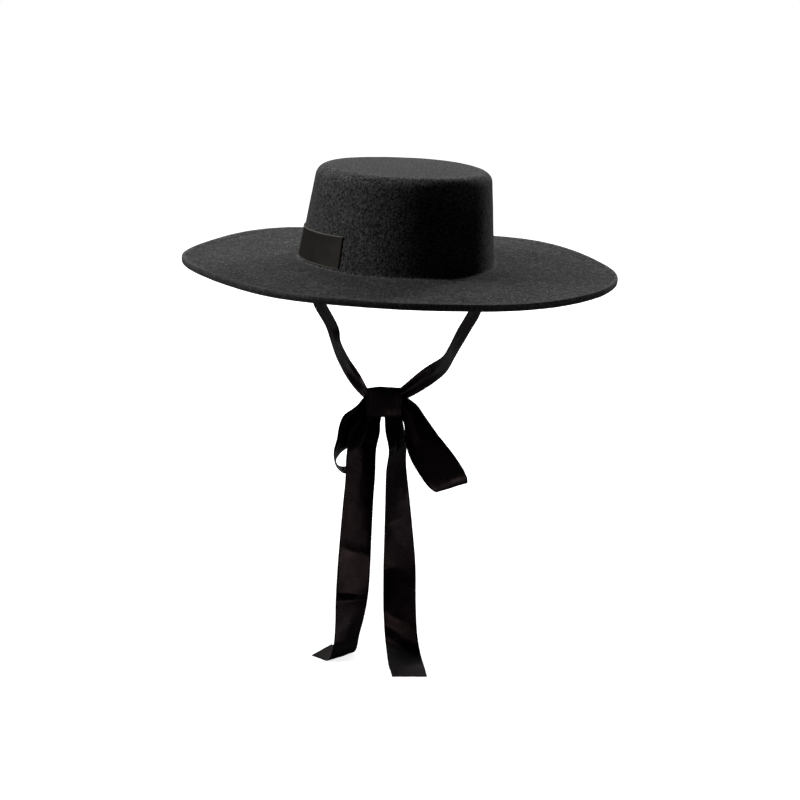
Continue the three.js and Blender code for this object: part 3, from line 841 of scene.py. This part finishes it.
def studio():
    studio_floor()
    centre = (0, 0, 0)
    soft_light("back_high", (0, 1.6, 1.1), centre, (1.4, 0.6), 15.0)
    soft_light("top_back", (0, 0.8, 1.6), centre, (1.2, 0.6), 1.4)
    soft_light("left_high", (-1.4, 0.0, 1.2), centre, (0.8, 0.8), 14.0)
    soft_light("left_forward", (-1.95, -0.5, 0.45), centre, (0.5, 0.6), 6.0)
    soft_light("right_back", (1.0, 1.7, 0.45), centre, (0.4, 0.6), 12.7)
    floor_glow("floor_front", (0.10, -0.28), (0.08, 0.12), 0.078)
    floor_glow("floor_near", (0.06, -0.19), (0.08, 0.08), 0.012)
    floor_glow("floor_foot", (-0.013, -0.12), (0.03, 0.056), 0.0046)
    floor_glow("floor_right", (0.20, -0.24), (0.12, 0.1), 0.036)
    floor_glow("floor_side", (0.34, -0.14), (0.14, 0.14), 0.02)
    floor_glow("floor_far_right", (0.66, -0.28), (0.3, 0.4), 0.7)
    floor_glow("floor_left", (-0.38, -0.38), (0.4, 0.4), 0.05)
    world = bpy.data.worlds.new("white_sweep")
    bpy.context.scene.world = world
    world.use_nodes = True
    tree = world.node_tree
    tree.nodes.clear()
    seen = add_node(tree, "ShaderNodeLightPath").outputs[0]
    bright = add_node(tree, "ShaderNodeMapRange", {"To Min": 0.01, "To Max": 1.0}, {"Value": seen})
    back = add_node(tree, "ShaderNodeBackground", {"Color": (1, 1, 1, 1)},
                    {"Strength": bright.outputs[0]})
    add_node(tree, "ShaderNodeOutputWorld", links={"Surface": back.outputs[0]})
    bpy.context.scene.view_settings.view_transform = "Standard"


def camera():
    data = bpy.data.cameras.new("front")
    data.lens = 90.09
    data.sensor_width = 36
    seen = bpy.data.objects.new("front", data)
    seen.location = (0.00297, -1.8, 0.3271)
    seen.rotation_euler = Euler((math.radians(75.7), 0, 0))
    bpy.context.scene.collection.objects.link(seen)
    bpy.context.scene.camera = seen


def rolled_edge(side, reach, depth):
    """A ribbon's upper edge that rolls over, most near the knot, less with the distance."""
    def shape(across, along, total):
        fade = smooth_step(reach, reach * 0.3, along) + smooth_step(reach, 0, total - along)
        return side * depth * fade * max(0.0, (across - 0.72) / 0.28) ** 2
    return shape


def cupped(depth, low_depth):
    """A ribbon whose middle stands forward of its edges, or behind them where a depth is negative,
    with one depth for its upper half and one for its lower half."""
    def shape(across, along, total):
        there = smooth_step(20, 60, along) * smooth_step(8, 40, total - along)
        forward = mix(depth, low_depth, smooth_step(76, 122, along))
        return -forward * there * (1 - (2 * across - 1) ** 2)
    return shape


camera()
studio()
felt = wool_felt()
grosgrain = woven_ribbon("grosgrain_ribbon", "#0c090a", "#150f11", "#190f14", "#070607", 0.26,
                         0.2, "#f0c8cc", RIB_PITCH)
crushed_grosgrain = woven_ribbon("crushed_grosgrain_ribbon", "#0e0b0c", "#171113", "#1b1114",
                                 "#070607", 0.44, 0.2, "#f0c8cc", RIB_PITCH)
# The label's pale edge tone is partly its edge threads and partly painted highlight where its edges
# catch the light.
label_cloth = woven_ribbon("label_ribbon_weave", "#161514", "#201d1b", "#1d1b18", "#7a776f", 0.6,
                           0.3, "#f2ece0", LABEL_RIB_PITCH)

build_felt(felt)
label, label_length = build_label(label_cloth)
build_knot(crushed_grosgrain)
tie_right, tie_right_length = ribbon("ribbon_tie_right", "tie_right", TIE_RIGHT, grosgrain, 1.0,
                                     tuck=(0, 4))
tie_left, tie_left_length = ribbon("ribbon_tie_left", "tie_left", TIE_LEFT, grosgrain, 2.3,
                                   tuck=(0, 4))
loop_right, loop_right_length = ribbon("ribbon_loop_right", "bow_loop_right", LOOP_RIGHT,
                                       grosgrain, 3.7, tuck=(4, 4))
loop_left, loop_left_length = ribbon("ribbon_loop_left", "bow_loop_left", LOOP_LEFT, grosgrain,
                                     5.1, tuck=(4, 4), shape=rolled_edge(1, 64, 6.5))
tail_right, tail_right_length = ribbon(
    "ribbon_tail_right", "tie_tail_right", TAIL_RIGHT, grosgrain, 6.4, tuck=(5, 0),
    folds=[(24, 0, 0.0), (56, 4, 1.5), (70, 3, 1.3), (94, 4, -0.6), (114, 18, -2.5),
           (118, 18, -2.9), (126, 13, -4.8), (140, 6, -3.2), (166, 6, 0.1), (167, 6, 0.1),
           (172, 6, -2.0), (175, 6, -1.9), (208, 2, 1.2), (226, -4, 0.4)],
    shape=cupped(1.3, 0.3), lying=(216, 4))
tail_left, tail_left_length = ribbon(
    "ribbon_tail_left", "tie_tail_left", TAIL_LEFT, grosgrain, 8.2, tuck=(5, 0),
    folds=[(24, 0, 0.0), (50, -10, 1.6), (90, 0, 4.0), (97, 2, 4.2), (101, 2, 3.6),
           (112, 2, 3.3), (121, 2, 2.5), (142, 3, 0.8), (146, 3, 0.2), (188, 24, -6.6),
           (191, 24, -6.4), (202, 28, -5.0), (204, 28, -5.0), (213, 27, -6.4), (228, 12, -5.6)],
    shape=cupped(-0.8, 0.5), lying=(217, 18))

for piece, length, held, carried in [
        (tie_right, tie_right_length, "hung", ["felt_hat", "wrapped_knot"]),
        (tie_left, tie_left_length, "hung", ["felt_hat", "wrapped_knot"]),
        (loop_right, loop_right_length, "gathered", ["wrapped_knot"]),
        (loop_left, loop_left_length, "gathered", ["wrapped_knot"]),
        (tail_right, tail_right_length, "hung", ["wrapped_knot"]),
        (tail_left, tail_left_length, "hung", ["wrapped_knot"])]:
    print(piece.name, "flat", RIBBON, "x", round(length, 1), "mm")
